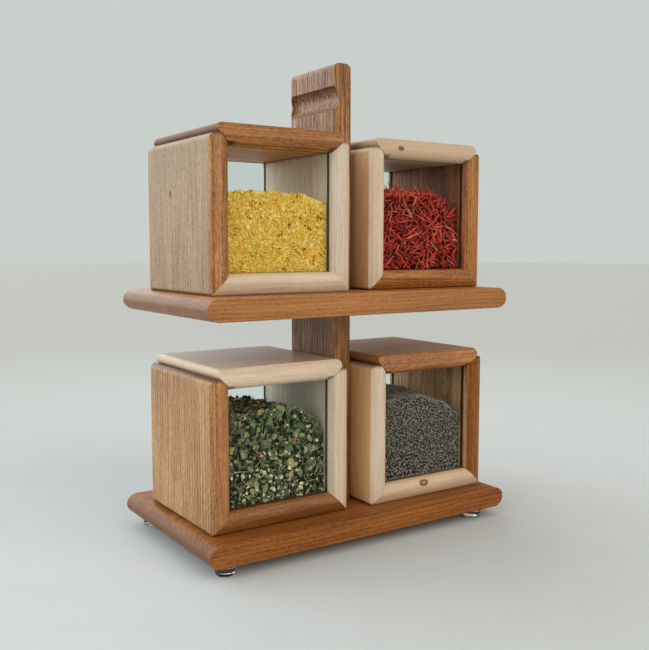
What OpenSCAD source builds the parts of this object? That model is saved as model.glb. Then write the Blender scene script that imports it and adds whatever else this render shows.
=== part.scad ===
// Two-tier wooden spice stand: a carrying post through two shelves on clear feet,
// and four mitred wooden boxes with glass in front and behind and lids that lift off.
// Millimetres. The origin is on the table under the middle of the stand, +Z is up
// and -Y is the front.

/* [Stand] */
// Length of each shelf, tip to tip
shelf_l = 300; // [290:1:320]
// Depth of each shelf, front to back
shelf_d = 165; // [155:1:190]
// Thickness of the shelves
shelf_t = 18; // [16:0.5:20]
// How far each rounded shelf end reaches back from its tip
nose_l = 11; // [10:0.5:16]
// Height of the upper shelf's top above the base shelf's top
tier_h = 183; // [176:1:200]
// Rounding of the shelves' corners, seen from above
shelf_corner_r = 1.25; // [1:0.25:4]
// Easing of the long edges of the shelves
shelf_ease_r = 1; // [0.5:0.25:1.5]

/* [Post] */
// Height of the post's top above the base shelf's top
post_h = 372; // [365:1:400]
// Width of the post, front to back
post_w = 67; // [60:1:80]
// Thickness of the post, left to right
post_t = 18; // [16:0.5:20]
// How far the post stands ahead of the shelves' middle line
post_forward = 3; // [0:0.5:5]
// Rounding of the two long edges on top of the post
post_top_r = 6; // [4:0.5:7]
// Radius of the finger cove in the post's left face
cove_r = 11.5; // [10:0.5:13]
// Depth of the finger cove
cove_depth = 5.7; // [4:0.1:7]
// Distance from the post's top down to the middle of the cove
cove_drop = 29; // [26:1:34]

/* [Boxes] */
// Width of each box, left to right
box_w = 126; // [120:1:128]
// Depth of each box over its rounded edges, front to back
box_d = 120; // [112:1:122]
// Height of each box with its lid on
box_h = 128; // [120:1:132]
// Thickness of the box boards and the lids
board_t = 16.5; // [15:0.5:18]
// Radius of the rounded edge that faces the window
window_r = 7; // [6:0.5:8]
// How far the outer edge falls back behind the front of the board
brow_drop = 3.8; // [3:0.1:5]
// Rounding of the sides' thin upper edges, beside the lid
side_tip_r = 5.5; // [3:0.25:6]
// Rounding of the lids' thin left and right edges
lid_tip_r = 4.25; // [3:0.25:6]
// Rounding of the boxes' lower edges, left and right
bottom_r = 3; // [2:0.5:5]
// Clearance between a lid and the mitred sides under it
lid_gap = 0.5; // [0.3:0.05:0.7]

/* [Glass] */
// Thickness of the glass panes
glass_t = 2; // [1.8:0.1:2.2]
// Width of the saw kerf that holds a pane
kerf_w = 2.2; // [2.1:0.1:2.6]
// Depth of the kerfs in the sides, the floor and the lid
kerf_depth = 4; // [3:0.25:5]
// Distance from the front of the boards to the middle of the kerf
kerf_in = 9.5; // [9:0.1:11]

/* [Feet] */
// Height of the clear feet
foot_h = 9; // [7:0.5:12]
// Diameter of a foot against the shelf
foot_top_d = 20; // [18:0.5:22]
// Diameter of a foot on the table
foot_base_d = 15; // [13:0.5:17]
// Distance from the front and back edges to the middle of a foot
foot_in_y = 13; // [12:0.5:20]
// Distance from the left tips to the middle of the left feet
foot_in_left = 19; // [18:1:30]
// Distance from the right tips to the middle of the right feet
foot_in_right = 27; // [18:1:30]

/* [Screws] */
// Length of the two screws that hold the post on the base shelf
screw_l = 45; // [40:1:60]
// Diameter of a screw's shank
screw_d = 4; // [3.5:0.5:5]
// Diameter of a screw's countersunk head
screw_head_d = 8; // [7:0.5:9]
// Distance between the two screws
screw_gap = 36; // [30:1:40]

/* [Hidden] */
$fn = 64;
eps = 0.01;
over = 1;                       // how far a cutter reaches past what it cuts
diag = [1, -1] / sqrt(2);       // the way a top mitre runs, down and in

base_top = foot_h + shelf_t;
upper_top = base_top + tier_h;
post_top = base_top + post_h;
post_y = -post_forward;

// Board section: the crown is the foremost line, and the brow falls from it to the outer face
crown = board_t - window_r;
brow_r = (pow(crown, 2) + pow(brow_drop, 2)) / (2 * brow_drop);

// Shelf end: two arcs of nose_r that meet in a tip of nose_tip_r
nose_r = (pow(nose_l, 2) + pow(shelf_t / 2, 2)) / shelf_t;
nose_tip_r = 5;
tip_in = sqrt(pow(nose_r - nose_tip_r, 2) - pow(nose_r - shelf_t / 2, 2));
nose_reach = tip_in + nose_tip_r;

// Inside of a box: between the panes, between the sides and above the floor
glass_fit = (kerf_w - glass_t) / 2;
glass_clear_top = 0.6;          // left between a pane's top edge and the lid's kerf
inside_from = kerf_in + glass_t / 2;
inside_d = box_d - 2 * inside_from;
inside_w = box_w - 2 * board_t;
fill_clear = 0.4;
inner_ease_r = 2;               // easing of the arris that the lid closes on
lid_kerf_w = kerf_w + 0.6;      // wider than the others, so the lid drops over the panes

// Each box: name, left outer face in X, front in from the shelf's edge, shelf top,
// woods of left, right, floor and lid, fill level above the floor, and its slump
oak = "peru";
oak_dark = "sienna";
ash = "wheat";
BOXES = [
    ["upper_left", -post_t / 2 - 3 - box_w, 15.8, upper_top, [oak, ash, ash, oak], 60, 8],
    ["upper_right", post_t / 2 + 6.7, 25.8, upper_top, [ash, oak, oak, ash], 70, 18],
    ["lower_left", -post_t / 2 - 2.8 - box_w, 18.2, base_top, [oak, ash, oak_dark, ash], 74, 24],
    ["lower_right", post_t / 2 + 1.8, 14.8, base_top, [ash, oak, ash, oak], 72, 24]
];
FILL_COLOURS = ["gold", "firebrick", "darkolivegreen", "dimgray"];
FEET = [
    ["foot_front_left", -1, -1], ["foot_front_right", 1, -1],
    ["foot_rear_left", -1, 1], ["foot_rear_right", 1, 1]
];
PIECES = ["left_side", "right_side", "floor", "lid", "front_glass", "rear_glass", "spice"];

function unit(v) = v / norm(v);

// What a rounded corner loses: v is the corner, a and b the ways its two edges leave it
module corner_waste(v, a, b, r) {
    half = acos(a * b) / 2;
    mid = unit(a + b);
    centre = v + mid * r / sin(half);
    on_a = v + a * r / tan(half);
    on_b = v + b * r / tan(half);
    difference() {
        polygon([centre, on_a + unit(on_a - centre) * over, v - mid * 2 * over,
                 on_b + unit(on_b - centre) * over]);
        translate(centre) circle(r);
    }
}

// A rectangle [w, h] from its lower left corner with all four corners rounded
module round_rect(w, h, r) {
    difference() {
        square([w, h]);
        for (x = [0, w], y = [0, h])
            corner_waste([x, y], [x == 0 ? 1 : -1, 0], [0, y == 0 ? 1 : -1], r);
    }
}

// Turn a drawing in X and Z into a solid that runs along Y from y0
module along_y(y0, length) {
    translate([0, y0 + length, 0]) rotate([90, 0, 0]) linear_extrude(length) children();
}

// ---- Stand ----

// Right end of a shelf seen from the front: two long arcs and a soft tip
module nose() {
    meet = tip_in * nose_r / (nose_r - nose_tip_r);
    union() {
        intersection() {
            translate([0, shelf_t / 2 - nose_r]) circle(nose_r);
            translate([0, nose_r - shelf_t / 2]) circle(nose_r);
            translate([-eps, -shelf_t / 2]) square([meet + eps, shelf_t]);
        }
        translate([tip_in, 0]) circle(nose_tip_r);
    }
}

module shelf_outline() {
    flat = shelf_l - 2 * nose_reach;
    union() {
        translate([-flat / 2, -shelf_t / 2]) square([flat, shelf_t]);
        for (side = [0, 1]) mirror([side, 0]) translate([flat / 2, 0]) nose();
    }
}

// A shelf with its top face at z
module shelf(z) {
    translate([0, 0, z - shelf_t / 2]) intersection() {
        along_y(-shelf_d / 2, shelf_d) shelf_outline();
        translate([-shelf_l / 2, -shelf_d / 2, -shelf_t / 2])
            linear_extrude(shelf_t) round_rect(shelf_l, shelf_d, shelf_corner_r);
        translate([-shelf_l / 2, 0, 0]) rotate([90, 0, 90]) linear_extrude(shelf_l)
            translate([-shelf_d / 2, -shelf_t / 2]) round_rect(shelf_d, shelf_t, shelf_ease_r);
    }
}

module screw_place() {
    for (side = [-1, 1]) translate([0, post_y + side * screw_gap / 2, foot_h]) children();
}

module screw() {
    head_h = (screw_head_d - screw_d) / 2;
    rotate_extrude() polygon([
        [0, 0], [screw_head_d / 2, 0], [screw_d / 2, head_h], [screw_d / 2, screw_l - screw_d],
        [0, screw_l]
    ]);
}

module base_shelf() {
    color(oak) difference() {
        shelf(base_top);
        screw_place() screw();
    }
}

module upper_shelf() {
    color(oak) difference() {
        shelf(upper_top);
        translate([-post_t / 2, post_y - post_w / 2, upper_top - shelf_t - over])
            cube([post_t, post_w, shelf_t + 2 * over]);
    }
}

// The cove runs in from the front and ends in a flattened ball that just breaks the back edge
module cove() {
    stop = 4;
    squash = 0.45;
    translate([-post_t / 2 + cove_depth - cove_r, 0, post_top - cove_drop]) {
        translate([0, post_y - post_w / 2 - over, 0])
            rotate([-90, 0, 0]) cylinder(h = post_w - stop + over, r = cove_r);
        translate([0, post_y + post_w / 2 - stop, 0]) scale([1, squash, 1]) sphere(cove_r);
    }
}

module post() {
    edge_r = 1;
    color(oak) difference() {
        intersection() {
            along_y(post_y - post_w / 2, post_w) difference() {
                translate([-post_t / 2, base_top]) square([post_t, post_h]);
                for (side = [-1, 1])
                    corner_waste([side * post_t / 2, post_top], [-side, 0], [0, -1], post_top_r);
            }
            translate([-post_t / 2, post_y - post_w / 2, base_top])
                linear_extrude(post_h) round_rect(post_t, post_w, edge_r);
        }
        cove();
        screw_place() screw();
    }
}

module post_screws() {
    color("darkgoldenrod") screw_place() screw();
}

module foot(side_x, side_y) {
    x = side_x < 0 ? foot_in_left - shelf_l / 2 : shelf_l / 2 - foot_in_right;
    rim = 1;
    color("lightsteelblue") translate([x, side_y * (shelf_d / 2 - foot_in_y), 0])
        rotate_extrude() polygon([
            [0, 0], [foot_base_d / 2 - rim, 0], [foot_base_d / 2, rim], [foot_top_d / 2, foot_h],
            [0, foot_h]
        ]);
}

// ---- Boxes ----

// Section of a box board, X from its outer face inwards and Y from front to back
module board_section(kerf = kerf_w) {
    difference() {
        square([board_t, box_d]);
        for (end = [0, 1]) translate([0, end * box_d]) mirror([0, end]) {
            difference() {
                translate([-over, -over]) square([crown + over, brow_drop + 2 * over]);
                translate([crown, brow_r]) circle(brow_r);
            }
            corner_waste([board_t, 0], [-1, 0], [0, 1], window_r);
            translate([board_t - kerf_depth, kerf_in - kerf / 2]) square([kerf_depth + over, kerf]);
        }
    }
}

// Front view of the left side: mitred at both ends, with its outer corner and its tip rounded
module side_outline() {
    difference() {
        polygon([[0, 0], [board_t, board_t], [board_t, box_h - board_t], [0, box_h]]);
        corner_waste([0, 0], [1, 0], [0, 1], bottom_r);
        corner_waste([0, box_h], [0, -1], diag, side_tip_r);
        corner_waste([board_t, box_h - board_t], [0, -1], -diag, inner_ease_r);
    }
}

module side() {
    intersection() {
        linear_extrude(box_h) board_section();
        along_y(0, box_d) side_outline();
    }
}

// A full length of board from left to right, lying on its outer face
module lying_board(kerf = kerf_w) {
    rotate([90, 0, 90]) linear_extrude(box_w) mirror([1, -1]) board_section(kerf);
}

module floor_board() {
    intersection() {
        lying_board();
        along_y(0, box_d) difference() {
            polygon([[0, 0], [box_w, 0], [box_w - board_t, board_t], [board_t, board_t]]);
            corner_waste([0, 0], [1, 0], [0, 1], bottom_r);
            corner_waste([box_w, 0], [-1, 0], [0, 1], bottom_r);
        }
    }
}

module lid_board() {
    gap = lid_gap * sqrt(2);
    under = [board_t + gap, box_w - board_t - gap];
    intersection() {
        translate([0, 0, box_h]) mirror([0, 0, 1]) lying_board(lid_kerf_w);
        along_y(0, box_d) difference() {
            polygon([[gap, box_h], [box_w - gap, box_h], [under[1], box_h - board_t],
                     [under[0], box_h - board_t]]);
            corner_waste([gap, box_h], [1, 0], diag, lid_tip_r);
            corner_waste([box_w - gap, box_h], [-1, 0], [-diag[0], diag[1]], lid_tip_r);
            corner_waste([under[0], box_h - board_t], [1, 0], -diag, inner_ease_r);
            corner_waste([under[1], box_h - board_t], [-1, 0], [diag[0], -diag[1]], inner_ease_r);
        }
    }
}

// A pane stands in the kerfs of both sides and the floor and reaches up into the lid's
module pane() {
    edge_in = board_t - kerf_depth + glass_fit;
    top = box_h - board_t + kerf_depth - glass_clear_top;
    translate([edge_in, kerf_in - glass_t / 2, edge_in])
        cube([box_w - 2 * edge_in, glass_t, top - edge_in]);
}

// Loose spice: level on the left and falling away towards the right wall
module spice(level, slump) {
    steps = 12;
    w = inside_w - 2 * fill_clear;
    along_y(inside_from + fill_clear, inside_d - 2 * fill_clear)
        translate([board_t + fill_clear, board_t]) polygon(concat(
            [[0, 0]],
            [for (i = [0:steps]) let (u = i / steps) [u * w, level - slump * pow(u, 3)]],
            [[w, 0]]
        ));
}

module box_piece(box, piece, colour) {
    woods = box[4];
    translate([box[1], box[2] - shelf_d / 2, box[3]]) {
        if (piece == "left_side") color(woods[0]) side();
        if (piece == "right_side") color(woods[1]) translate([box_w, 0, 0]) mirror([1, 0, 0]) side();
        if (piece == "floor") color(woods[2]) floor_board();
        if (piece == "lid") color(woods[3]) lid_board();
        if (piece == "front_glass") color("powderblue", 0.4) pane();
        if (piece == "rear_glass") color("powderblue", 0.4)
            translate([0, box_d, 0]) mirror([0, 1, 0]) pane();
        if (piece == "spice") color(colour) spice(box[5], box[6]);
    }
}

base_shelf();
upper_shelf();
post();
post_screws();
for (f = FEET)
    foot(f[1], f[2]);
for (i = [0:len(BOXES) - 1], piece = PIECES)
    box_piece(BOXES[i], piece, FILL_COLOURS[i]);
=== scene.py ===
"""Looks of the two-tier spice stand: oiled woods, glass, clear feet and four loose spice fills.

Metres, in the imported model's frame: +Z up, -Y the front, the origin on the table.
"""

import math

import bpy
import numpy as np
from mathutils import Euler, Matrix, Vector


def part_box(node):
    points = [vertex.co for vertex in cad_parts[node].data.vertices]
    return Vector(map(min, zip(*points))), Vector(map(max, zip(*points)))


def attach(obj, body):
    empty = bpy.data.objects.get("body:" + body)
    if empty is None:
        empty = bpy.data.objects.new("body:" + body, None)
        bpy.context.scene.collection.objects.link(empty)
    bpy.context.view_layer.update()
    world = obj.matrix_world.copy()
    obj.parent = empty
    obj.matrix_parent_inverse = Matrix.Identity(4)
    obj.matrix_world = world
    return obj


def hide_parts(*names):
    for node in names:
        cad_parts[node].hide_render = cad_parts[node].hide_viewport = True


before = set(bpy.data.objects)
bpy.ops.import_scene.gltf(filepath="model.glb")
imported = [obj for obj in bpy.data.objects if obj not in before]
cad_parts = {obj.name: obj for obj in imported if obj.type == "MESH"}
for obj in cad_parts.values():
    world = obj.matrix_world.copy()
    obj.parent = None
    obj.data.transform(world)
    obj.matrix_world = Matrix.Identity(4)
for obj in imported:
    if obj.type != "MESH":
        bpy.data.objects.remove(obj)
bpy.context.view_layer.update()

MM = 0.001
BOXES = ("upper_left", "upper_right", "lower_left", "lower_right")
BOARDS = ("left_side", "right_side", "floor", "lid")

# ---- Materials ----

PORE = (0.085, 0.028, 0.010)
ASH_PORE = (0.36, 0.21, 0.10)
KNOT = (0.12, 0.032, 0.007)
# The colour of the painted shadow line beside the glass, where a pane sits in its kerf.
PANE_SHADOW = (0.05, 0.022, 0.010)


def rgba(colour):
    return (*colour, 1.0)


class Shader:
    """A new material, or a given world, with short calls for the nodes that it is made of."""

    def __init__(self, name, world=None):
        self.material = world or bpy.data.materials.new(name)
        self.material.use_nodes = True
        self.tree = self.material.node_tree
        self.tree.nodes.clear()
        self.output = self.tree.nodes.new("ShaderNodeOutput" + ("World" if world else "Material"))

    def put(self, socket, value):
        if isinstance(value, bpy.types.NodeSocket):
            self.tree.links.new(value, socket)
        else:
            socket.default_value = value

    def node(self, kind, inputs=None, settings=None):
        made = self.tree.nodes.new("ShaderNode" + kind)
        for name, value in (settings or {}).items():
            setattr(made, name, value)
        for name, value in (inputs or {}).items():
            self.put(made.inputs[name], value)
        return made

    def math(self, operation, a, b=0.0, clamp=False):
        settings = {"operation": operation, "use_clamp": clamp}
        return self.node("Math", {0: a, 1: b}, settings).outputs[0]

    def add(self, a, b):
        return self.math("ADD", a, b)

    def less(self, a, b):
        return self.math("SUBTRACT", a, b)

    def times(self, a, b):
        return self.math("MULTIPLY", a, b)

    def gap(self, a, b):
        """How far a is from b, either way."""
        return self.math("ABSOLUTE", self.less(a, b))

    def either(self, a, b):
        return self.math("MAXIMUM", a, b)

    def remap(self, value, low, high, to_low=0.0, to_high=1.0):
        """A smooth step, from to_low at low to to_high at high."""
        limits = {"Value": value, "From Min": low, "From Max": high}
        limits.update({"To Min": to_low, "To Max": to_high})
        return self.node("MapRange", limits, {"interpolation_type": "SMOOTHSTEP"}).outputs[0]

    def mix(self, factor, a, b):
        a, b = (v if isinstance(v, bpy.types.NodeSocket) else rgba(v) for v in (a, b))
        return self.node("Mix", {0: factor, 6: a, 7: b}, {"data_type": "RGBA"}).outputs[2]

    def ramp(self, value, stops):
        made = self.node("ValToRGB", {"Fac": value})
        marks = made.color_ramp.elements
        while len(marks) < len(stops):
            marks.new(1.0)
        for mark, (at, colour) in zip(marks, stops):
            mark.position = at
            mark.color = rgba(colour)
        return made.outputs["Color"]

    def vector(self, x, y, z):
        return self.node("CombineXYZ", {0: x, 1: y, 2: z}).outputs[0]

    def noise(self, where, scale, detail=2.0):
        return self.node("TexNoise", {"Vector": where, "Scale": scale, "Detail": detail}).outputs[0]

    def place(self):
        return self.node("TexCoord").outputs["Object"]

    def split(self, vector):
        return self.node("SeparateXYZ", {0: vector}).outputs

    def normal(self):
        return self.split(self.node("TexCoord").outputs["Normal"])

    def bump(self, height, distance, strength=1.0):
        inputs = {"Height": height, "Distance": distance, "Strength": strength}
        return self.node("Bump", inputs).outputs[0]

    def surface(self, **values):
        """The Principled shader, with its sockets named in words joined by _, on the output."""
        inputs = {name.replace("_", " "): value for name, value in values.items()}
        shader = self.node("BsdfPrincipled", inputs)
        self.put(self.output.inputs["Surface"], shader.outputs[0])
        return self.material


class Timber:
    """How a kind of wood looks. light and dark are the ends of its shades, and the rest is what
    differs from the values here. left, top and under are a second (light, dark), for the faces that
    look that way: painted light, shade and sheen, for how the window and the room light them."""

    pore = PORE
    ring = 1.8 * MM  # the width of a growth ring
    vein = 1.0  # how far the rings wander
    porous = 0.8  # how dark the pores are
    lines = 0.25  # how dark the lines along the grain are
    coarse = 1.0  # the size of the pores, lines and flecks
    fine = 1.0  # how strong the flecks and threads are
    gloss = 0.4
    torn = 0.0  # how dark the painted shade is where a cut looks down
    left = None
    reach = -0.8  # how far round left goes, as the x of the normal
    top = None
    under = None

    def __init__(self, light, dark, **changes):
        self.__dict__.update(light=light, dark=dark, **changes)

    def but(self, **changes):
        return Timber(**{**self.__dict__, **changes})


def knot_distance(s, along, a, b, place, radius, stretch=1.6):
    """How far a point is from a knot, in knot radii, drawn out along the grain."""
    total = 0.0
    for value, middle, size in zip((along, a, b), place, (radius * stretch, radius, radius)):
        off = s.math("DIVIDE", s.less(value, middle), size)
        total = s.add(s.times(off, off), total)
    return s.math("SQRT", total)


def knot_marks(s, along, a, b, knot):
    """Where a knot is dark, its middle as much as core says, and how far it pushes the growth rings
    out."""
    place, radius, core = knot
    near = knot_distance(s, along, a, b, place, radius)
    bulge = s.times(s.math("POWER", math.e, s.times(near, -0.5)), radius * 2.2)
    rim = s.times(s.remap(near, 0.3, 0.6, core, 1.0), s.remap(near, 0.95, 1.45, 1.0, 0.0))
    return rim, bulge


def early_wood(s, a, b, drift, kind, pith, bulge):
    """The open first part of each growth ring, about the pith line."""
    wander = s.times(s.less(s.noise(drift, 22.0, 3.0), 0.5), 9 * MM * kind.vein)
    a_off, b_off = s.less(a, pith[0]), s.less(b, pith[1])
    radius = s.math("SQRT", s.add(s.times(a_off, a_off), s.times(b_off, b_off)))
    radius = s.add(s.add(radius, wander), bulge)
    part = s.math("FRACT", s.math("DIVIDE", radius, kind.ring))
    return s.times(s.remap(part, 0.0, 0.12), s.remap(part, 0.22, 0.75, 1.0, 0.0))


def strokes(s, along, a, b, width, length, thin):
    """Short dark strokes along the grain, one in each cell of a loose lattice."""
    cells = (s.math("DIVIDE", v, size) for v, size in ((a, width), (b, width), (along, length)))
    distance = s.node("TexVoronoi", {"Vector": s.vector(*cells), "Scale": 1.0}).outputs["Distance"]
    return s.remap(distance, thin * 0.75, thin * 1.3, 1.0, 0.0)


def pores(s, along, a, b, early, coarse):
    """Small pores, twice as dark in the early wood, and large ones that are only there."""
    small = strokes(s, along, a, b, 0.95 * MM * coarse, 3.4 * MM * coarse, 0.30)
    large = strokes(s, along, b, a, 1.7 * MM * coarse, 6.5 * MM * coarse, 0.20)
    return s.either(s.times(small, s.add(s.times(early, 0.5), 0.5)), s.times(large, early))


def paint_joint_shade(s, colour, xyz, dark, low, high, ends, inner, panes):
    """Painted shade: darker below the height low and above the height high, in the grooves where it
    meets other boards, and a painted shadow line beside the glass. ends, for a lid, is the middle and
    half width outside which low counts. inner is the axis and position of the face to the inside of
    the box, and panes the middle and half distance of the two panes along Y."""
    strong = 0.85
    below = s.remap(xyz[2], low - 2 * MM, low, strong, 0.0)
    if ends:
        middle, half = ends
        below = s.times(below, s.remap(s.gap(xyz[0], middle), half - 1.5 * MM, half + 1.5 * MM))
    above = s.remap(xyz[2], high, high + 3 * MM, 0.0, strong)
    # Painted shade in the grooves where the board meets the shelf and its other boards.
    colour = s.mix(s.either(below, above), colour, tuple(0.3 * v for v in dark))
    # A painted shadow line on the inner face, beside the panes.
    (axis, face), (middle, half) = inner, panes
    inside = s.remap(s.gap(xyz[axis], face), 0.8 * MM, 1.6 * MM, 1.0, 0.0)
    beside = s.remap(s.gap(s.gap(xyz[1], middle), half), 1.3 * MM, 2.3 * MM, 0.9, 0.0)
    return s.mix(s.times(inside, beside), colour, PANE_SHADOW)


def wood(name, kind, grain, seed, pith, joints=None, knot=None):
    """Oiled wood, solid all through, with its grain along the axis named: growth rings about a
    pith line beside the board, pores and lines drawn out along the grain, fine flecks, slow colour
    change, and end grain where the grain comes out. It also takes painted light and shade: by the way
    a face looks, on cuts that look down, and at the joins."""
    s = Shader(name)
    xyz, normal = s.split(s.place()), s.normal()
    order = {"X": (0, 1, 2), "Z": (2, 0, 1)}[grain]
    along, a, b = (xyz[i] for i in order)
    drift = s.vector(s.add(a, seed * 0.37), s.add(b, seed * 0.21), s.times(along, 0.16))
    threads = s.vector(a, b, s.times(along, 0.03))
    dark_knot, bulge = knot_marks(s, along, a, b, knot) if knot else (0.0, 0.0)
    early = early_wood(s, a, b, drift, kind, pith, bulge)
    fibre = s.noise(threads, 1500.0 / kind.coarse, 2.0)
    fleck = s.noise(s.vector(a, b, s.times(along, 0.17)), 1250.0 / kind.coarse, 3.0)

    textures = ((early, 0.25), (fibre, 0.8), (fleck, 1.3))
    textures += ((s.noise(threads, 560.0 / kind.coarse), 0.8), (s.noise(threads, 130.0, 3.0), 0.7))
    textures += ((s.noise(drift, 60.0), 0.9),)
    usual_texture, usual_shade = 0.46, 0.37
    shade = 0.0
    for texture, weight in textures:
        shade = s.add(s.times(s.less(texture, usual_texture), weight * kind.fine), shade)
    shade = s.math("ADD", shade, usual_shade, clamp=True)

    colour = s.mix(shade, kind.light, kind.dark)
    # Painted light and shade: faces that look left, down or up take the kind's second colours.
    faces_left = s.remap(normal[0], -0.98, kind.reach, 1.0, 0.0)
    faces_down = s.remap(normal[2], -0.98, -0.85, 1.0, 0.0)
    faces_up = s.remap(normal[2], 0.8, 0.98)
    for pair, mask in ((kind.left, faces_left), (kind.under, faces_down), (kind.top, faces_up)):
        if pair:
            colour = s.mix(mask, colour, s.mix(shade, *pair))

    holes = pores(s, along, a, b, early, kind.coarse)
    colour = s.mix(s.times(holes, kind.porous), colour, kind.pore)
    line = s.remap(s.noise(threads, 900.0 / kind.coarse, 1.0), 0.52, 0.60)
    colour = s.mix(s.times(line, kind.lines), colour, kind.pore)
    end = s.remap(s.math("ABSOLUTE", normal[order[0]]), 0.45, 0.95)
    colour = s.mix(s.times(end, 0.55), colour, kind.dark)
    # Painted shade where a cut looks down, such as the roof of the post's cove, streaked along the
    # grain.
    if kind.torn:
        cut = s.remap(normal[2], -0.55, -0.05, 1.0, 0.0)
        streaky = s.remap(s.noise(threads, 900.0, 3.0), 0.35, 0.6, kind.torn * 0.3, kind.torn)
        colour = s.mix(s.times(cut, streaky), colour, kind.pore)
    if knot:
        colour = s.mix(s.times(dark_knot, 0.9), colour, KNOT)
    # Painted shade at the joins with other boards and beside the glass.
    if joints:
        colour = paint_joint_shade(s, colour, xyz, kind.dark, **joints)

    dry = s.remap(normal[2], -0.85, -0.35, 1.0, 0.0)
    if kind.left:
        dry = s.either(dry, faces_left)
    return s.surface(
        Base_Color=colour,
        Roughness=s.add(s.times(fibre, 0.16), 0.32),
        Specular_IOR_Level=s.remap(dry, 0.0, 1.0, kind.gloss, 0.15),
        Normal=s.bump(s.less(s.times(fleck, 0.4), holes), 0.12 * MM, 0.6),
    )


def glass_material():
    """Clean float glass: clear through its faces, green on its cut edges, faintly wiped. It mirrors
    only where light enters, and not head on."""
    s = Shader("glass")
    face = s.remap(s.math("ABSOLUTE", s.normal()[1]), 0.3, 0.7)
    tint = s.mix(face, (0.30, 0.62, 0.50), (0.965, 0.985, 0.978))
    clear = s.node("BsdfTransparent", {"Color": tint}).outputs[0]
    smear = s.remap(s.noise(s.place(), 45.0, 4.0), 0.35, 0.75, 0.01, 0.07)
    gloss = s.node("BsdfGlossy", {"Roughness": smear}).outputs[0]
    head_on, strength = 0.038, 0.6
    mirror = s.less(s.node("Fresnel", {"IOR": 1.45}).outputs[0], head_on)
    entering = s.less(1.0, s.node("NewGeometry").outputs["Backfacing"])
    share = s.math("MULTIPLY", mirror, s.times(entering, strength), clamp=True)
    mixed = s.node("MixShader", {0: share, 1: clear, 2: gloss}).outputs[0]
    s.put(s.output.inputs["Surface"], mixed)
    return s.material


def foot_material():
    """Clear polyurethane with a little haze inside and a rubbed skin."""
    s = Shader("clear_plastic")
    rub = s.noise(s.place(), 900.0, 3.0)
    return s.surface(
        Base_Color=s.mix(s.noise(s.place(), 120.0), (0.80, 0.88, 0.93), (0.93, 0.96, 0.97)),
        Roughness=s.remap(rub, 0.3, 0.8, 0.04, 0.16),
        Normal=s.bump(rub, 0.02 * MM, 0.3),
        IOR=1.49,
        Transmission_Weight=1.0,
    )


def zinc_material():
    """Yellow-passivated zinc with turned scratches."""
    s = Shader("yellow_zinc")
    patch = s.noise(s.place(), 700.0, 3.0)
    scratch = s.noise(s.place(), 4200.0, 2.0)
    return s.surface(
        Base_Color=s.mix(patch, (0.62, 0.50, 0.24), (0.50, 0.44, 0.36)),
        Metallic=1.0,
        Roughness=s.remap(scratch, 0.3, 0.7, 0.24, 0.42),
        Normal=s.bump(scratch, 0.02 * MM, 0.4),
    )


def loose_material(
    name, stops, grain=1400.0, roughness=0.7, patch=0.0, relief=0.10 * MM, mottle=0.45, shine=0.25
):
    """Dry plant matter: each grain takes its own colour from the stops, more so by the region when
    patch is given, with fine mottling."""
    s = Shader(name)
    own = s.node("NewGeometry").outputs["Random Per Island"]
    region = s.times(s.less(s.noise(s.place(), 90.0), 0.5), patch)
    colour = s.ramp(s.math("ADD", own, region, clamp=True), stops)
    fine = s.noise(s.place(), grain, 3.0)
    colour = s.mix(s.remap(fine, 0.35, 0.75, 0.0, mottle), colour, stops[0][1])
    return s.surface(
        Base_Color=colour,
        Specular_IOR_Level=shine,
        Roughness=s.remap(fine, 0.3, 0.8, roughness - 0.12, roughness + 0.1),
        Normal=s.bump(fine, relief, 0.6),
    )


def two_tone(name, dark, light, **changes):
    return loose_material(name, [(0.0, dark), (1.0, light)], **changes)


# ---- Loose fills ----


def ball():
    """An icosahedron of radius 1: 12 points and 20 triangles."""
    t = (1 + math.sqrt(5)) / 2
    points = [(-1, t, 0), (1, t, 0), (-1, -t, 0), (1, -t, 0), (0, -1, t), (0, 1, t)]
    points += [(0, -1, -t), (0, 1, -t), (t, 0, -1), (t, 0, 1), (-t, 0, -1), (-t, 0, 1)]
    faces = [(0, 11, 5), (0, 5, 1), (0, 1, 7), (0, 7, 10), (0, 10, 11), (1, 5, 9), (5, 11, 4)]
    faces += [(11, 10, 2), (10, 7, 6), (7, 1, 8), (3, 9, 4), (3, 4, 2), (3, 2, 6), (3, 6, 8)]
    faces += [(3, 8, 9), (4, 9, 5), (2, 4, 11), (6, 2, 10), (8, 6, 7), (9, 8, 1)]
    return np.array(points) / math.hypot(1, t), np.array(faces)


def flake(rng, sides=6):
    """A leaf flake: a closed lens with an uneven rim, bent a little."""
    angle = np.arange(sides) * 2 * math.pi / sides
    reach = rng.uniform(0.6, 1.0, sides)
    x, y = reach * np.cos(angle), reach * np.sin(angle) * rng.uniform(0.45, 0.9)
    bend = rng.uniform(-0.35, 0.35)
    rim = np.column_stack([x, y, bend * x**2])
    points = np.vstack([rim, [0, 0, 0.07], [0, 0, -0.05]])
    following = np.roll(np.arange(sides), -1)
    top = np.column_stack([np.arange(sides), following, np.full(sides, sides)])
    under = np.column_stack([following, np.arange(sides), np.full(sides, sides + 1)])
    return points, np.vstack([top, under])


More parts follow.
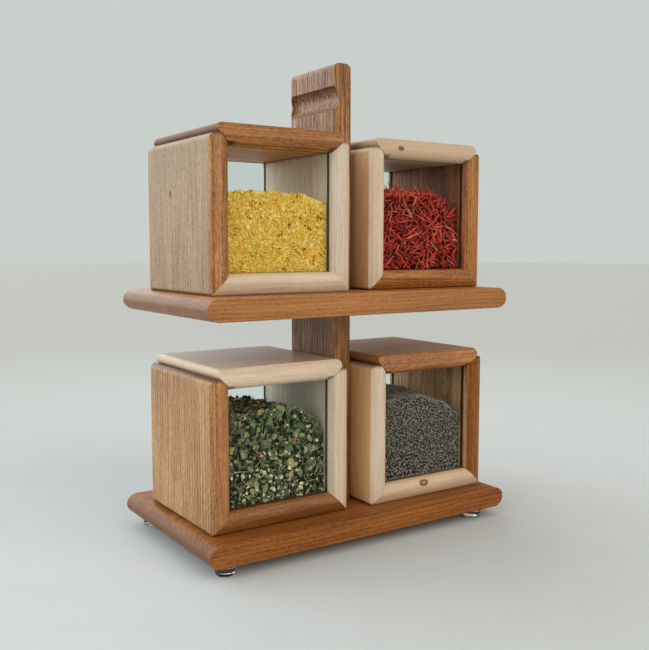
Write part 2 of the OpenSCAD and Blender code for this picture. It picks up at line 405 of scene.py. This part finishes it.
def thread(rng, thick=0.07, rings=7):
    """A dry thread of length 1 along X: three-sided, tapered to both ends, curved and twisted."""
    along = np.linspace(-0.5, 0.5, rings)
    curl, wave = rng.uniform(-0.45, 0.45), rng.uniform(-0.06, 0.06)
    middle = np.column_stack(
        [along, curl * (along**2 - 0.08), wave * np.sin(along * rng.uniform(4, 9))]
    )
    width = thick * (1.0 - 0.8 * np.abs(2 * along) ** 3)
    turn = rng.uniform(0, math.pi) + along * rng.uniform(-2.5, 2.5)
    points = []
    for side in range(3):
        around = turn + side * 2 * math.pi / 3
        flat = 1.0 if side else 0.55
        offset = np.column_stack([0 * around, np.cos(around) * width * flat, np.sin(around) * width])
        points.append(middle + offset)
    points = np.stack(points, 1).reshape(-1, 3)
    faces = []
    for ring in range(rings - 1):
        for side in range(3):
            p, q = ring * 3 + side, ring * 3 + (side + 1) % 3
            faces += [(p, q, q + 3), (p, q + 3, p + 3)]
    last = (rings - 1) * 3
    faces += [(0, 2, 1), (last, last + 1, last + 2)]
    return points, np.array(faces)


def turns(rng, count, tilt=math.pi):
    """Rotation matrices: any turn about Z, after a tip of up to tilt about a random level axis."""
    spin, tip = rng.uniform(0, 2 * math.pi, count), rng.uniform(-tilt, tilt, count)
    way = rng.uniform(0, 2 * math.pi, count)
    c, s = np.cos(tip), np.sin(tip)
    x, y = np.cos(way), np.sin(way)
    lean = np.empty((count, 3, 3))
    lean[:, 0] = np.column_stack([c + x * x * (1 - c), x * y * (1 - c), y * s])
    lean[:, 1] = np.column_stack([x * y * (1 - c), c + y * y * (1 - c), -x * s])
    lean[:, 2] = np.column_stack([-y * s, x * s, c])
    about = np.zeros((count, 3, 3))
    about[:, 0, 0] = about[:, 1, 1] = np.cos(spin)
    about[:, 1, 0], about[:, 0, 1] = np.sin(spin), -np.sin(spin)
    about[:, 2, 2] = 1
    return lean @ about


class Fill:
    """The space for one box's spice, and the mesh that grows in it."""

    def __init__(self, box, front, rear, seed):
        """front and rear are the heap's heights in mm from left to right along the two panes."""
        self.box = box
        self.low, self.high = (np.array(v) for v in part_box(f"{box}_spice"))
        self.front, self.rear = (np.array(v) * MM for v in (front, rear))
        self.rng = np.random.default_rng(seed)
        self.waves = self.rng.uniform(0, 2 * math.pi, 6)
        self.points, self.faces, self.slots, self.count = [], [], [], 0

    def top(self, x, y, lumps=1.6 * MM):
        """Height of the heap at x, y: the two profiles, blended front to back, with lumps."""
        size = self.high - self.low
        u, v = ((at - self.low[i]) / size[i] for i, at in enumerate((x, y)))
        at = np.linspace(0, 1, len(self.front))
        ease = np.clip(v, 0, 1) ** 2 * (3 - 2 * np.clip(v, 0, 1))
        level = np.interp(u, at, self.front) * (1 - ease) + np.interp(u, at, self.rear) * ease
        w = self.waves
        bumps = np.sin(u * 11 + w[0]) * np.sin(v * 9 + w[1]) + 0.6 * np.sin(u * 23 + v * 7 + w[2])
        bumps += 0.4 * np.sin(v * 31 - u * 13 + w[3])
        return self.low[2] + level + lumps * bumps * 0.5

    def add(self, points, faces, slot):
        """Adds points (n, v, 3) with the same faces (f, 3) for each of the n shapes."""
        n, v = points.shape[:2]
        self.points.append(points.reshape(-1, 3))
        each = faces[None] + self.count + np.arange(n)[:, None, None] * v
        self.faces.append(each.reshape(-1, 3))
        self.slots.append(np.repeat(np.broadcast_to(slot, n), len(faces)))
        self.count += n * v

    def core(self, inset, sink, slot, cells=26):
        """A closed heap under the grains, inset from both panes and sunk below the top."""
        low, high = self.low + (0, inset, 0), self.high - (0, inset, 0)
        x, y = np.meshgrid(*(np.linspace(low[i], high[i], cells) for i in (0, 1)), indexing="ij")
        x, y = x.ravel(), y.ravel()
        upper = np.column_stack([x, y, self.top(x, y) - sink])
        lower = np.column_stack([x, y, np.full_like(x, low[2])])
        at = np.arange(cells * cells).reshape(cells, cells)
        a, b, c, d = (v.ravel() for v in (at[:-1, :-1], at[1:, :-1], at[1:, 1:], at[:-1, 1:]))
        sheet = np.vstack([np.column_stack([a, b, c]), np.column_stack([a, c, d])])
        rim = np.concatenate([at[:-1, 0], at[-1, :-1], at[:0:-1, -1], at[0, :0:-1]])
        following, under = np.roll(rim, -1), cells * cells
        wall = [np.column_stack([rim, rim + under, following + under])]
        wall.append(np.column_stack([rim, following + under, following]))
        faces = np.vstack([sheet, sheet[:, ::-1] + under, *wall])
        self.add(np.vstack([upper, lower])[None], faces, slot)

    def sheet_places(self, pitch, depth, pane):
        """Places behind the front pane (0) or the rear one (1), up to the heap's top."""
        low, high = self.low, self.high
        xs, zs = (np.arange(low[i], high[i], pitch) for i in (0, 2))
        x, z = (v.ravel() for v in np.meshgrid(xs, zs))
        x, z = (v + self.rng.uniform(-0.45, 0.45, v.size) * pitch for v in (x, z))
        deep = self.rng.uniform(0, depth, x.size)
        y = high[1] - deep if pane else low[1] + deep
        keep = (z < self.top(x, y)) & (z > low[2]) & (x > low[0]) & (x < high[0])
        return np.column_stack([x, y, z])[keep]

    def top_places(self, pitch, depth):
        """Places over the top of the heap, down to a depth."""
        xs, ys = (np.arange(self.low[i], self.high[i], pitch) for i in (0, 1))
        x, y = (v.ravel() for v in np.meshgrid(xs, ys))
        x, y = (v + self.rng.uniform(-0.45, 0.45, v.size) * pitch for v in (x, y))
        z = self.top(x, y) - self.rng.uniform(0, depth, x.size)
        return np.column_stack([x, y, z])

    def places(self, pitch, depth):
        """Places behind both panes and over the top."""
        sheets = [self.sheet_places(pitch, depth, pane) for pane in (0, 1)]
        return np.vstack([*sheets, self.top_places(pitch, depth)])

    def by_panes(self, places, reach):
        """Which of the places are within reach of a pane."""
        return (places[:, 1] < self.low[1] + reach) | (places[:, 1] > self.high[1] - reach)

    def scatter(self, shapes, places, sizes, slot, tilt=math.pi, upright=None, squash=(1, 1, 1)):
        """One of the shapes at each place, turned at random and held inside the box. upright
        turns flat shapes to lie along the panes instead of lying down."""
        rng, n = self.rng, len(places)
        which = rng.integers(0, len(shapes), n)
        points = np.stack([shape[0] for shape in shapes])[which] * np.array(squash)
        turn = turns(rng, n, tilt)
        if upright is not None:
            stand = np.array([[1, 0, 0], [0, 0, -1], [0, 1, 0]], float)
            turn = np.where(upright[:, None, None], stand @ turn, turn)
        points = np.einsum("nij,nvj->nvi", turn, points) * np.asarray(sizes)[:, None, None]
        points += places[:, None, :]
        over = np.maximum(points.max(1) - self.high, 0)
        under = np.maximum(self.low - points.min(1), 0)
        over[:, 2] = 0
        points += (under - over)[:, None, :]
        self.add(points, shapes[0][1], slot)

    def build(self, name, materials, smooth=True):
        """Makes the mesh, in place of the box's CAD heap."""
        points, faces = np.vstack(self.points), np.vstack(self.faces)
        mesh = bpy.data.meshes.new(name)
        mesh.vertices.add(len(points))
        mesh.vertices.foreach_set("co", points.astype(np.float32).ravel())
        mesh.loops.add(faces.size)
        mesh.loops.foreach_set("vertex_index", faces.astype(np.int32).ravel())
        mesh.polygons.add(len(faces))
        mesh.polygons.foreach_set("loop_start", np.arange(0, faces.size, 3, dtype=np.int32))
        mesh.polygons.foreach_set("material_index", np.concatenate(self.slots).astype(np.int32))
        mesh.polygons.foreach_set("use_smooth", np.full(len(faces), smooth))
        mesh.update(calc_edges=True)
        mesh.validate()
        for material in materials:
            mesh.materials.append(material)
        piece = bpy.data.objects.new(name, mesh)
        bpy.context.scene.collection.objects.link(piece)
        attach(piece, f"{self.box}_box")
        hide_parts(f"{self.box}_spice")
        print(name, len(faces), "triangles")


def rough_balls(rng, count, uneven):
    """Rounded grains: icosahedra with points pushed in and out."""
    points, faces = ball()
    return [(points * rng.uniform(1 - uneven, 1 + uneven, (12, 1)), faces) for _ in range(count)]


def clipped_sizes(rng, count, median, spread, low, high):
    """Log-normal sizes in mm, kept between two limits, as metres."""
    return np.clip(rng.lognormal(math.log(median), spread, count), low, high) * MM


def chips(rng, count, uneven):
    """Angular crumbs: octahedra with points pushed in and out."""
    points = np.array([(1, 0, 0), (-1, 0, 0), (0, 1, 0), (0, -1, 0), (0, 0, 1), (0, 0, -1)], float)
    faces = [(0, 2, 4), (2, 1, 4), (1, 3, 4), (3, 0, 4), (2, 0, 5), (1, 2, 5), (3, 1, 5), (0, 3, 5)]
    faces = np.array(faces)
    return [(points * rng.uniform(1 - uneven, 1 + uneven, (6, 1)), faces) for _ in range(count)]


def yellow_crumbs():
    """Fine clotted crumbs with a few dark ones, and painted orange shade in the hollows between them.
    """
    fill = Fill("upper_left", (60, 62, 62, 61, 54), (58, 60, 60, 58, 54), seed=11)
    rng = fill.rng
    stops = [(0.0, (0.30, 0.10, 0.015)), (0.006, (0.74, 0.36, 0.035)), (0.22, (0.95, 0.61, 0.080))]
    stops += [(0.60, (1.0, 0.76, 0.17)), (1.0, (1.0, 0.86, 0.38))]
    crumb = loose_material("spice_yellow", stops, roughness=0.85, patch=0.7, mottle=0.05, shine=0.08)
    hollow_shade = two_tone("spice_yellow_heart", (0.60, 0.27, 0.015), (0.90, 0.54, 0.05))
    CRUMB, HOLLOW_SHADE = range(2)
    # The core under the crumbs is painted shade for the hollows between them.
    fill.core(inset=1.2 * MM, sink=1.0 * MM, slot=HOLLOW_SHADE)
    places = fill.places(pitch=1.08 * MM, depth=1.7 * MM)
    sizes = clipped_sizes(rng, len(places), median=0.78, spread=0.30, low=0.4, high=1.8)
    fill.scatter(chips(rng, 16, 0.30), places, sizes, CRUMB)
    clots = fill.places(pitch=5.5 * MM, depth=0.6 * MM)
    fill.scatter(chips(rng, 8, 0.30), clots, rng.uniform(1.6, 3.2, len(clots)) * MM, CRUMB)
    fill.build("upper_left_crumbs", [crumb, hollow_shade], smooth=False)


def red_threads():
    """A springy tangle of dry threads, standing off the right wall, with loose ends on top."""
    fill = Fill("upper_right", (69, 70, 69, 66, 44), (68, 70, 69, 66, 56), seed=23)
    stops = [(0.0, (0.20, 0.008, 0.006)), (0.30, (0.52, 0.022, 0.014)), (0.70, (0.80, 0.050, 0.030))]
    stops += [(0.93, (0.88, 0.13, 0.06)), (1.0, (0.90, 0.42, 0.18))]
    dry = loose_material("spice_red", stops, roughness=0.45, relief=0.05 * MM, mottle=0.25, shine=0.7)
    shade_core = two_tone("spice_red_heart", (0.03, 0.003, 0.002), (0.16, 0.010, 0.006))
    THREAD, SHADE_CORE = range(2)
    # The dark core under the threads is painted shade for the gaps among them.
    fill.core(inset=6 * MM, sink=6 * MM, slot=SHADE_CORE)
    shapes = [thread(fill.rng) for _ in range(40)]
    places = fill.places(pitch=3.0 * MM, depth=6.5 * MM)
    sizes = fill.rng.uniform(7, 16, len(places)) * MM
    fill.scatter(shapes, places, sizes, THREAD, tilt=0.7, upright=fill.by_panes(places, 6 * MM))
    fill.build("upper_right_threads", [dry, shade_core])


def green_leaves():
    """Leaf flakes, stalks, pale bits that have sunk low, and a few chips of orange."""
    fill = Fill("lower_left", (72, 74, 74, 73, 50), (67, 68, 68, 67, 60), seed=37)
    rng = fill.rng
    stops = [(0.0, (0.025, 0.030, 0.014)), (0.30, (0.075, 0.095, 0.050)), (0.75, (0.18, 0.225, 0.125))]
    stops += [(0.93, (0.30, 0.36, 0.17)), (1.0, (0.50, 0.44, 0.16))]
    leaf = loose_material("spice_leaf", stops, roughness=0.6, patch=0.3, mottle=0.3)
    pale = two_tone("spice_pale", (0.50, 0.44, 0.28), (0.88, 0.84, 0.68), mottle=0.2)
    chip = two_tone("spice_chip", (0.48, 0.17, 0.09), (0.74, 0.40, 0.27))
    stalk = two_tone("spice_stalk", (0.18, 0.15, 0.06), (0.46, 0.44, 0.24))
    shade_core = two_tone("spice_leaf_heart", (0.008, 0.010, 0.005), (0.03, 0.04, 0.015))
    LEAF, PALE, CHIP, STALK, SHADE_CORE = range(5)
    # The dark core under the leaves is painted shade for the gaps among them.
    fill.core(inset=2.6 * MM, sink=2.6 * MM, slot=SHADE_CORE)

    def lie(places):
        return fill.by_panes(places, 4 * MM)

    def low_down(places, deep, shallow):
        """The places left when a share of deep is kept low in the heap and of shallow high in it."""
        depth = (places[:, 2] - fill.low[2]) / (fill.high[2] - fill.low[2])
        return places[rng.uniform(0, 1, len(places)) < np.interp(depth, (0.35, 0.65), (deep, shallow))]

    flakes = [flake(rng) for _ in range(24)]
    places = fill.places(pitch=2.7 * MM, depth=3.6 * MM)
    sizes = clipped_sizes(rng, len(places), median=2.4, spread=0.45, low=0.9, high=6.5)
    fill.scatter(flakes, places, sizes, LEAF, tilt=0.85, upright=lie(places))
    places = fill.places(pitch=7.0 * MM, depth=1.8 * MM)
    stalks = [thread(rng, thick=0.08) for _ in range(8)]
    sizes = rng.uniform(4, 9, len(places)) * MM
    fill.scatter(stalks, places, sizes, STALK, tilt=0.5, upright=lie(places))
    places = low_down(fill.places(pitch=5.0 * MM, depth=0.8 * MM), 0.62, 0.10)
    bits = [flake(rng) for _ in range(12)]
    sizes = rng.uniform(1.1, 3.0, len(places)) * MM
    fill.scatter(bits, places, sizes, PALE, tilt=0.8, upright=lie(places), squash=(1, 1, 3))
    places = fill.places(pitch=20 * MM, depth=0.6 * MM)
    lumps = rough_balls(rng, 6, 0.25)
    sizes = rng.uniform(1.7, 3.2, len(places)) * MM
    fill.scatter(lumps, places, sizes, CHIP, squash=(1, 0.8, 0.45))
    fill.build("lower_left_leaves", [leaf, pale, chip, stalk, shade_core], smooth=False)


def black_seeds():
    """Small rounded seeds, grey with bloom, with painted shade, a dark core, in the gaps between them.
    """
    fill = Fill("lower_right", (72, 72, 71, 65, 48), (70, 71, 70, 68, 64), seed=53)
    stops = [(0.0, (0.14, 0.122, 0.102)), (0.5, (0.29, 0.258, 0.225)), (1.0, (0.46, 0.42, 0.365))]
    seed = loose_material("spice_black", stops, roughness=0.5, grain=2200.0)
    shade_core = two_tone("spice_black_heart", (0.02, 0.018, 0.015), (0.08, 0.070, 0.060))
    SEED, SHADE_CORE = range(2)
    # The dark core under the seeds is painted shade for the gaps among them.
    fill.core(inset=2.0 * MM, sink=1.8 * MM, slot=SHADE_CORE)
    places = fill.places(pitch=1.85 * MM, depth=1.6 * MM)
    sizes = fill.rng.uniform(0.86, 1.12, len(places)) * MM
    fill.scatter(rough_balls(fill.rng, 8, 0.10), places, sizes, SEED, squash=(1, 0.85, 0.78))
    fill.build("lower_right_seeds", [seed, shade_core])


# ---- Feet ----


def lathe(name, profile, steps=48):
    """A closed solid of revolution about Z from (radius, height) points, first and last on the axis."""
    points, faces = [], []
    for i in range(steps):
        turn = 2 * math.pi * i / steps
        points += [(r * math.cos(turn), r * math.sin(turn), z) for r, z in profile[1:-1]]
    bottom, top = len(points), len(points) + 1
    points += [(0, 0, profile[0][1]), (0, 0, profile[-1][1])]
    rings = len(profile) - 2
    for i in range(steps):
        here, there = i * rings, (i + 1) % steps * rings
        faces.append((bottom, there, here))
        faces += [(here + k, there + k, there + k + 1, here + k + 1) for k in range(rings - 1)]
        faces.append((here + rings - 1, there + rings - 1, top))
    mesh = bpy.data.meshes.new(name)
    mesh.from_pydata(points, [], faces)
    mesh.polygons.foreach_set("use_smooth", [True] * len(mesh.polygons))
    mesh.update()
    piece = bpy.data.objects.new(name, mesh)
    bpy.context.scene.collection.objects.link(piece)
    return piece


def arc(centre, radius, start, end, steps=6):
    """Points (radius, height) round part of a circle, angles in degrees."""
    angles = (math.radians(start + (end - start) * i / steps) for i in range(steps + 1))
    return [(centre[0] + radius * math.cos(a), centre[1] + radius * math.sin(a)) for a in angles]


def foot(node, material):
    """A clear bumper: soft round rims, a dished sole and a flange against the shelf."""
    low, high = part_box(node)
    r, h = (high.x - low.x) / 2, high.z - low.z
    sole, rim, dish = r * 0.74, 1.6 * MM, 0.7 * MM
    profile = [(0, dish), (sole * 0.5, dish * 0.7), (sole - 1.8 * rim, 0)]
    profile += arc((sole - rim, rim), rim, -90, -12)
    profile += [(r - 1.7 * MM, h - 2.6 * MM)]
    profile += arc((r - 1.0 * MM, h - 1.2 * MM), 1.0 * MM, -60, 80)
    profile += [(r * 0.9, h), (0, h)]
    piece = lathe(f"{node}_bumper", profile)
    piece.location = ((low.x + high.x) / 2, (low.y + high.y) / 2, low.z)
    piece.data.materials.append(material)
    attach(piece, "stand")
    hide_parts(node)


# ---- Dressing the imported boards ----


def dress(node, material):
    """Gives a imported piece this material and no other."""
    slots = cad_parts[node].data.materials
    slots.clear()
    slots.append(material)


OAK = Timber((0.63, 0.270, 0.073), (0.23, 0.078, 0.015))
BROWN_OAK = Timber((0.54, 0.220, 0.050), (0.17, 0.055, 0.012))
DEEP_OAK = Timber((0.45, 0.166, 0.038), (0.15, 0.047, 0.010), porous=0.55, lines=0.1, fine=0.9)
DEEP_OAK = DEEP_OAK.but(gloss=0.12)
RED_OAK = Timber((0.42, 0.170, 0.045), (0.18, 0.060, 0.015))
TAN_OAK = Timber((0.60, 0.295, 0.110), (0.24, 0.085, 0.022), porous=0.65, lines=0.20)
TAN_OAK = TAN_OAK.but(coarse=1.15, ring=4.2 * MM)
ASH = Timber((0.84, 0.72, 0.570), (0.54, 0.38, 0.240), pore=ASH_PORE, porous=0.12, lines=0.10)
ASH = ASH.but(vein=1.4, fine=0.55, ring=2.6 * MM)
# CREAM and HONEY: painted light on faces that look left, brighter inner walls and warm bounce light.
CREAM = ((1.00, 0.91, 0.780), (0.50, 0.39, 0.290))
HONEY = ((0.95, 0.64, 0.350), (0.66, 0.38, 0.170))

# The woods of each box's boards, in the order of BOARDS.
# Their left, top and under colours are painted light, shade and sheen on the faces that look that way.
WOODS = {
    "upper_left": (
        TAN_OAK.but(left=((0.485, 0.340, 0.205), (0.27, 0.172, 0.105))),
        ASH.but(light=(0.84, 0.77, 0.670), left=CREAM),
        ASH,
        BROWN_OAK.but(
            left=((0.21, 0.150, 0.112), (0.11, 0.068, 0.046)),
            reach=-0.3,
            under=((0.92, 0.420, 0.090), (0.38, 0.135, 0.025)),
        ),
    ),
    "upper_right": (
        ASH.but(left=HONEY),
        OAK.but(left=((0.68, 0.250, 0.120), (0.10, 0.030, 0.015))),
        OAK,
        ASH.but(light=(0.60, 0.46, 0.310)),
    ),
    "lower_left": (
        TAN_OAK.but(left=((0.62, 0.37, 0.185), (0.25, 0.120, 0.050))),
        ASH.but(left=CREAM),
        RED_OAK,
        ASH.but(top=((0.62, 0.50, 0.400), (0.34, 0.24, 0.170)), gloss=0.3),
    ),
    "lower_right": (
        ASH.but(light=(0.77, 0.66, 0.530), left=HONEY),
        DEEP_OAK.but(left=((0.84, 0.52, 0.270), (0.25, 0.115, 0.045))),
        ASH.but(light=(0.78, 0.60, 0.420)),
        OAK.but(top=((0.62, 0.33, 0.155), (0.20, 0.090, 0.040)), gloss=0.5),
    ),
}
# The left colours of the base shelf, upper shelf and post are painted sheen and shade on their ends and
# sides.
BASE_WOOD = DEEP_OAK.but(left=((0.29, 0.150, 0.100), (0.13, 0.058, 0.036)), reach=-0.3, ring=3.2 * MM)
SHELF_WOOD = Timber((0.55, 0.230, 0.060), (0.27, 0.102, 0.025), porous=0.4, lines=0.1, ring=3.0 * MM)
SHELF_WOOD = SHELF_WOOD.but(left=((0.285, 0.232, 0.188), (0.12, 0.085, 0.064)), reach=-0.3)
POST_WOOD = Timber((0.60, 0.285, 0.080), (0.19, 0.066, 0.014), porous=0.3, lines=0.75, ring=2.4 * MM)
POST_WOOD = POST_WOOD.but(left=((0.52, 0.335, 0.215), (0.16, 0.082, 0.046)), reach=-0.2, torn=0.8)


def board_knot(node):
    """The small knot that a board shows, if any: its place as (along the grain, across, across),
    its radius and how dark its middle is."""
    low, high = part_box(node)
    size = high - low
    at = {
        "upper_right_lid": ((low.x + 0.22 * size.x, low.y, high.z - 8 * MM), 1.7 * MM, 1.0),
        "lower_right_floor": ((low.x + 0.45 * size.x, low.y, high.z - 4 * MM), 2.7 * MM, 0.4),
        "upper_left_left_side": ((low.z + 0.65 * size.z, low.x, low.y + 72 * MM), 1.6 * MM, 0.8),
    }
    return at.get(node)


def board_joint_shade(box, board):
    """Where a board takes painted shade, at its joins and beside the glass: the heights, ends, inner
    face and panes.
    """
    low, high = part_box(f"{box}_{board}")
    half = (high.x - low.x) / 2
    x, z = 0, 2
    inner = {"left_side": (x, high.x), "right_side": (x, low.x)}
    inner.update({"floor": (z, high.z), "lid": (z, low.z)})
    panes = [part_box(f"{box}_{pane}") for pane in ("front_glass", "rear_glass")]
    front, rear = ((near.y + far.y) / 2 for near, far in panes)
    out_of_reach = 1.0
    return {
        "low": low.z + (4 if board == "lid" else 2) * MM,
        "high": high.z - 3 * MM if board.endswith("side") else out_of_reach,
        "ends": (low.x + half, half - 14 * MM) if board == "lid" else None,
        "inner": inner[board],
        "panes": ((front + rear) / 2, (rear - front) / 2),
    }


def dress_boards():
    """Gives each board of the boxes its own wood, with a pith line away from it at random."""
    rng = np.random.default_rng(5)
    for box in BOXES:
        for board, kind in zip(BOARDS, WOODS[box]):
            node = f"{box}_{board}"
            low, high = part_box(node)
            middle = (low + high) / 2
            is_side = board.endswith("side")
            across = (middle.x, middle.y) if is_side else (middle.y, middle.z)
            away, lean = rng.uniform(0.07, 0.20), rng.uniform(-0.6, 0.6)
            lean += math.pi / 2 if board == "left_side" else 0.0
            pith = (across[0] + away * math.cos(lean), across[1] + away * math.sin(lean))
            seed = rng.uniform(0, 9)
            joints = board_joint_shade(box, board)
            material = wood(node, kind, "Z" if is_side else "X", seed, pith, joints, board_knot(node))
            dress(node, material)


def dress_stand():
    dress("base_shelf", wood("base_shelf", BASE_WOOD, "X", seed=3.1, pith=(0.03, -0.14)))
    dress("upper_shelf", wood("upper_shelf", SHELF_WOOD, "X", seed=4.7, pith=(-0.05, 0.07)))
    dress("post", wood("post", POST_WOOD, "Z", seed=6.2, pith=(0.10, 0.13)))
    dress("post_screws", zinc_material())
    clear = foot_material()
    for corner in ("front_left", "front_right", "rear_left", "rear_right"):
        foot(f"foot_{corner}", clear)


def dress_panes():
    glass = glass_material()
    for box in BOXES:
        for pane in ("front_glass", "rear_glass"):
            dress(f"{box}_{pane}", glass)


# ---- Floor, light and camera ----


def build_floor():
    """A plain pale floor, faintly uneven, that meets the backdrop's colour far away."""
    s = Shader("floor")
    x, y, _ = s.split(s.place())
    far = s.remap(s.math("SQRT", s.add(s.times(x, x), s.times(y, y))), 0.15, 1.6)
    pale = s.mix(s.noise(s.place(), 30.0, 3.0), (0.565, 0.605, 0.615), (0.595, 0.635, 0.645))
    colour = s.mix(far, pale, (0.465, 0.485, 0.47))
    material = s.surface(Base_Color=colour, Roughness=0.9, Specular_IOR_Level=0.2)
    bpy.ops.mesh.primitive_circle_add(vertices=96, radius=12, fill_type="NGON")
    floor = bpy.context.object
    floor.name = "floor"
    floor.data.materials.append(material)


def sun(name, way, spread, strength, colour):
    """Soft light from the direction way, spread over an angle in degrees."""
    data = bpy.data.lights.new(name, "SUN")
    data.energy, data.color, data.angle = strength, colour, math.radians(spread)
    made = bpy.data.objects.new(name, data)
    made.rotation_euler = Vector(way).to_track_quat("Z", "Y").to_euler()
    bpy.context.scene.collection.objects.link(made)


def build_world():
    """A window wall behind and on the left, and a dim room in front. The camera sees neither, but
    one pale tone."""
    world = bpy.data.worlds.new("room")
    s = Shader("room", world)
    room, window, backdrop = (0.42, 0.36, 0.29), (2.15, 2.33, 2.40), (0.585, 0.625, 0.60)
    way = s.node("TexCoord").outputs["Generated"]
    to_window = {0: way, 1: (-0.78, 0.62, 0.0)}
    ahead = s.node("VectorMath", to_window, {"operation": "DOT_PRODUCT"}).outputs["Value"]
    height = s.split(way)[2]
    pane = s.times(s.remap(ahead, -0.1, 0.5), s.remap(height, 0.5, 0.85, 1.0, 0.25))
    pane = s.times(pane, s.remap(height, -0.05, 0.32, 0.35, 1.0))
    seen = s.node("LightPath").outputs["Is Camera Ray"]
    colour = s.mix(seen, s.mix(pane, room, window), backdrop)
    s.put(s.output.inputs["Surface"], s.node("Background", {"Color": colour}).outputs[0])
    bpy.context.scene.world = world


def build_light():
    """Soft window light from behind on the left, and a warm fill from the front."""
    sun("window", (-1.0, 0.75, 0.35), spread=50, strength=0.5, colour=(0.84, 0.93, 1.0))
    sun("room", (0.35, -1.0, 0.60), spread=50, strength=1.2, colour=(1.0, 0.93, 0.84))
    sun("ceiling", (0, 0.1, 1), spread=60, strength=0.3, colour=(0.96, 0.98, 1.0))
    build_world()


def build_camera():
    """The view from the front left, a little above the middle of the stand."""
    data = bpy.data.cameras.new("camera")
    data.sensor_fit, data.sensor_height, data.lens = "VERTICAL", 36, 46.93
    data.shift_x, data.shift_y = 0.0208, -0.0082
    data.clip_start, data.clip_end = 0.01, 50
    camera = bpy.data.objects.new("camera", data)
    camera.location = (-0.4177, -0.6256, 0.2472)
    down, around = 4.96, 33.25
    camera.rotation_euler = Euler((math.radians(90 - down), 0, math.radians(-around)))
    bpy.context.scene.collection.objects.link(camera)
    bpy.context.scene.camera = camera


build_camera()
build_light()
build_floor()
dress_boards()
dress_stand()
dress_panes()
yellow_crumbs()
red_threads()
green_leaves()
black_seeds()
bpy.context.scene.view_settings.view_transform = "Standard"
